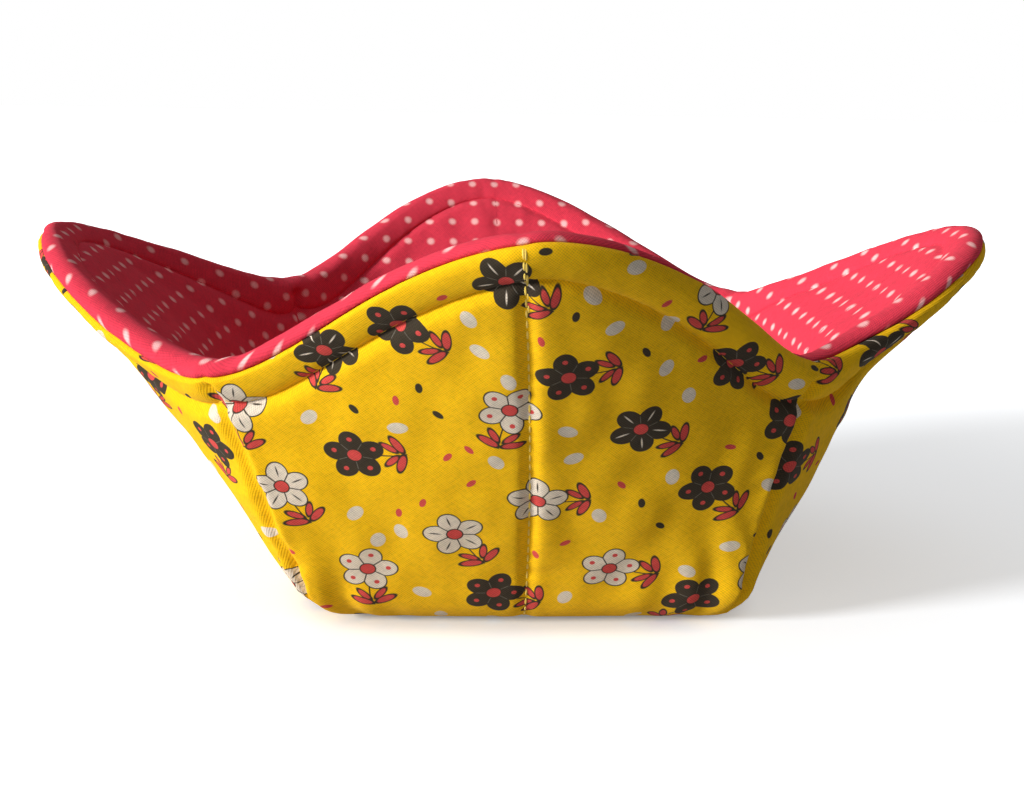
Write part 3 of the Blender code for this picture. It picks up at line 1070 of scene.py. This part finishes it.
def make_camera():
    elevation, turn, roll = map(math.radians, (CAMERA_ELEVATION, CAMERA_TURN, CAMERA_ROLL))
    right = Vector((math.cos(turn), -math.sin(turn), 0))
    ahead = Vector((math.sin(turn) * math.cos(elevation), math.cos(turn) * math.cos(elevation),
                    -math.sin(elevation)))
    up = right.cross(ahead)
    right_rolled = right * math.cos(roll) - up * math.sin(roll)
    up_rolled = right * math.sin(roll) + up * math.cos(roll)
    place = Vector((0, 0, CAMERA_AIM_HEIGHT)) - ahead * CAMERA_DISTANCE
    data = bpy.data.cameras.new("camera")
    data.sensor_width = 36.0
    data.lens = data.sensor_width * FOCAL_PIXELS / IMAGE_WIDTH
    data.shift_x = (IMAGE_WIDTH / 2 - PRINCIPAL_POINT[0]) / IMAGE_WIDTH
    data.shift_y = (PRINCIPAL_POINT[1] - IMAGE_HEIGHT / 2) / IMAGE_WIDTH
    data.clip_start = 0.01
    camera = in_scene("camera", data)
    axes = Matrix((right_rolled, up_rolled, -ahead)).transposed()
    camera.matrix_world = Matrix.Translation(place) @ axes.to_4x4()
    bpy.context.scene.camera = camera


def make_lamp(name, lamp):
    """A far soft lamp: azimuth from -Y towards -X, in degrees."""
    data = bpy.data.lights.new(name, "SUN")
    data.energy = lamp.strength
    data.angle = math.radians(lamp.spread)
    light = in_scene(name, data)
    azimuth, elevation = math.radians(lamp.azimuth), math.radians(lamp.elevation)
    level = math.cos(elevation)
    towards = Vector((-math.sin(azimuth) * level, -math.cos(azimuth) * level, math.sin(elevation)))
    light.rotation_mode = "QUATERNION"
    light.rotation_quaternion = towards.to_track_quat("Z", "Y")


def seen_directly(tree):
    """1 for rays from the camera, in mirrors and through glass."""
    path = tree.nodes.new("ShaderNodeLightPath")
    seen = Term(tree, path.outputs["Is Camera Ray"])
    for name in ("Is Glossy Ray", "Is Transmission Ray"):
        seen = seen.of("MAXIMUM", Term(tree, path.outputs[name]))
    return seen


def make_world():
    """White behind the object, and a faint light from all round."""
    world = bpy.data.worlds.new("studio")
    bpy.context.scene.world = world
    world.use_nodes = True
    tree = world.node_tree
    background = tree.nodes["Background"]
    background.inputs["Color"].default_value = (1, 1, 1, 1)
    strength = seen_directly(tree) * (1 - AMBIENT) + AMBIENT
    tree.links.new(strength.socket, background.inputs["Strength"])


def floor_material():
    """A glow that whitens the floor but keeps the object's shadow, dimmed round the base as painted shade."""
    material = bpy.data.materials.new("pale_floor")
    material.use_nodes = True
    tree = material.node_tree
    surface = tree.nodes["Principled BSDF"]
    pale = tree.nodes.new("ShaderNodeVectorMath")
    pale.operation = "SCALE"
    pale.inputs[0].default_value = FLOOR_COLOUR
    bounce = seen_directly(tree) * (1 - FLOOR_BOUNCE) + FLOOR_BOUNCE
    tree.links.new(bounce.socket, pale.inputs["Scale"])
    tree.links.new(pale.outputs[0], surface.inputs["Base Color"])
    surface.inputs["Roughness"].default_value = 0.9
    surface.inputs["Specular IOR Level"].default_value = 0.0
    glow = tree.nodes.new("ShaderNodeEmission")
    both = tree.nodes.new("ShaderNodeAddShader")
    coordinates = tree.nodes.new("ShaderNodeTexCoord")
    split = tree.nodes.new("ShaderNodeSeparateXYZ")
    tree.links.new(coordinates.outputs["Object"], split.inputs[0])
    x, y, _ = (Term(tree, output) for output in split.outputs)
    near = length(x, y).below(FLOOR_FADE, FLOOR_FADE_WIDTH)
    from_middle = (x * x * x * x + y * y * y * y).of("POWER", 0.25)
    # painted shade: the glow is dimmed in a ring round the base's edge, where the object touches the floor
    painted_shade_ring = from_middle.below(BASE_HALF + CONTACT_REACH / 2, CONTACT_REACH)
    strength = seen_directly(tree) * (near * (FLOOR_GLOW - 1) + 1 - painted_shade_ring * PAINTED_CONTACT_SHADE)
    tree.links.new(strength.socket, glow.inputs["Strength"])
    tree.links.new(surface.outputs[0], both.inputs[0])
    tree.links.new(glow.outputs[0], both.inputs[1])
    tree.links.new(both.outputs[0], tree.nodes["Material Output"].inputs["Surface"])
    return material


def make_floor():
    """A white floor that still takes the shadow near the object and melts into the background."""
    bpy.ops.mesh.primitive_plane_add(size=FLOOR_SIZE, location=(0, 0, 0))
    floor = bpy.context.object
    floor.name = "floor"
    floor.data.materials.append(floor_material())


def make_studio():
    scene = bpy.context.scene
    scene.view_settings.view_transform = "Standard"
    make_lamp("key", KEY)
    make_lamp("window", WINDOW)
    make_world()
    make_floor()


make_camera()
make_cloths()
make_thread()
make_studio()
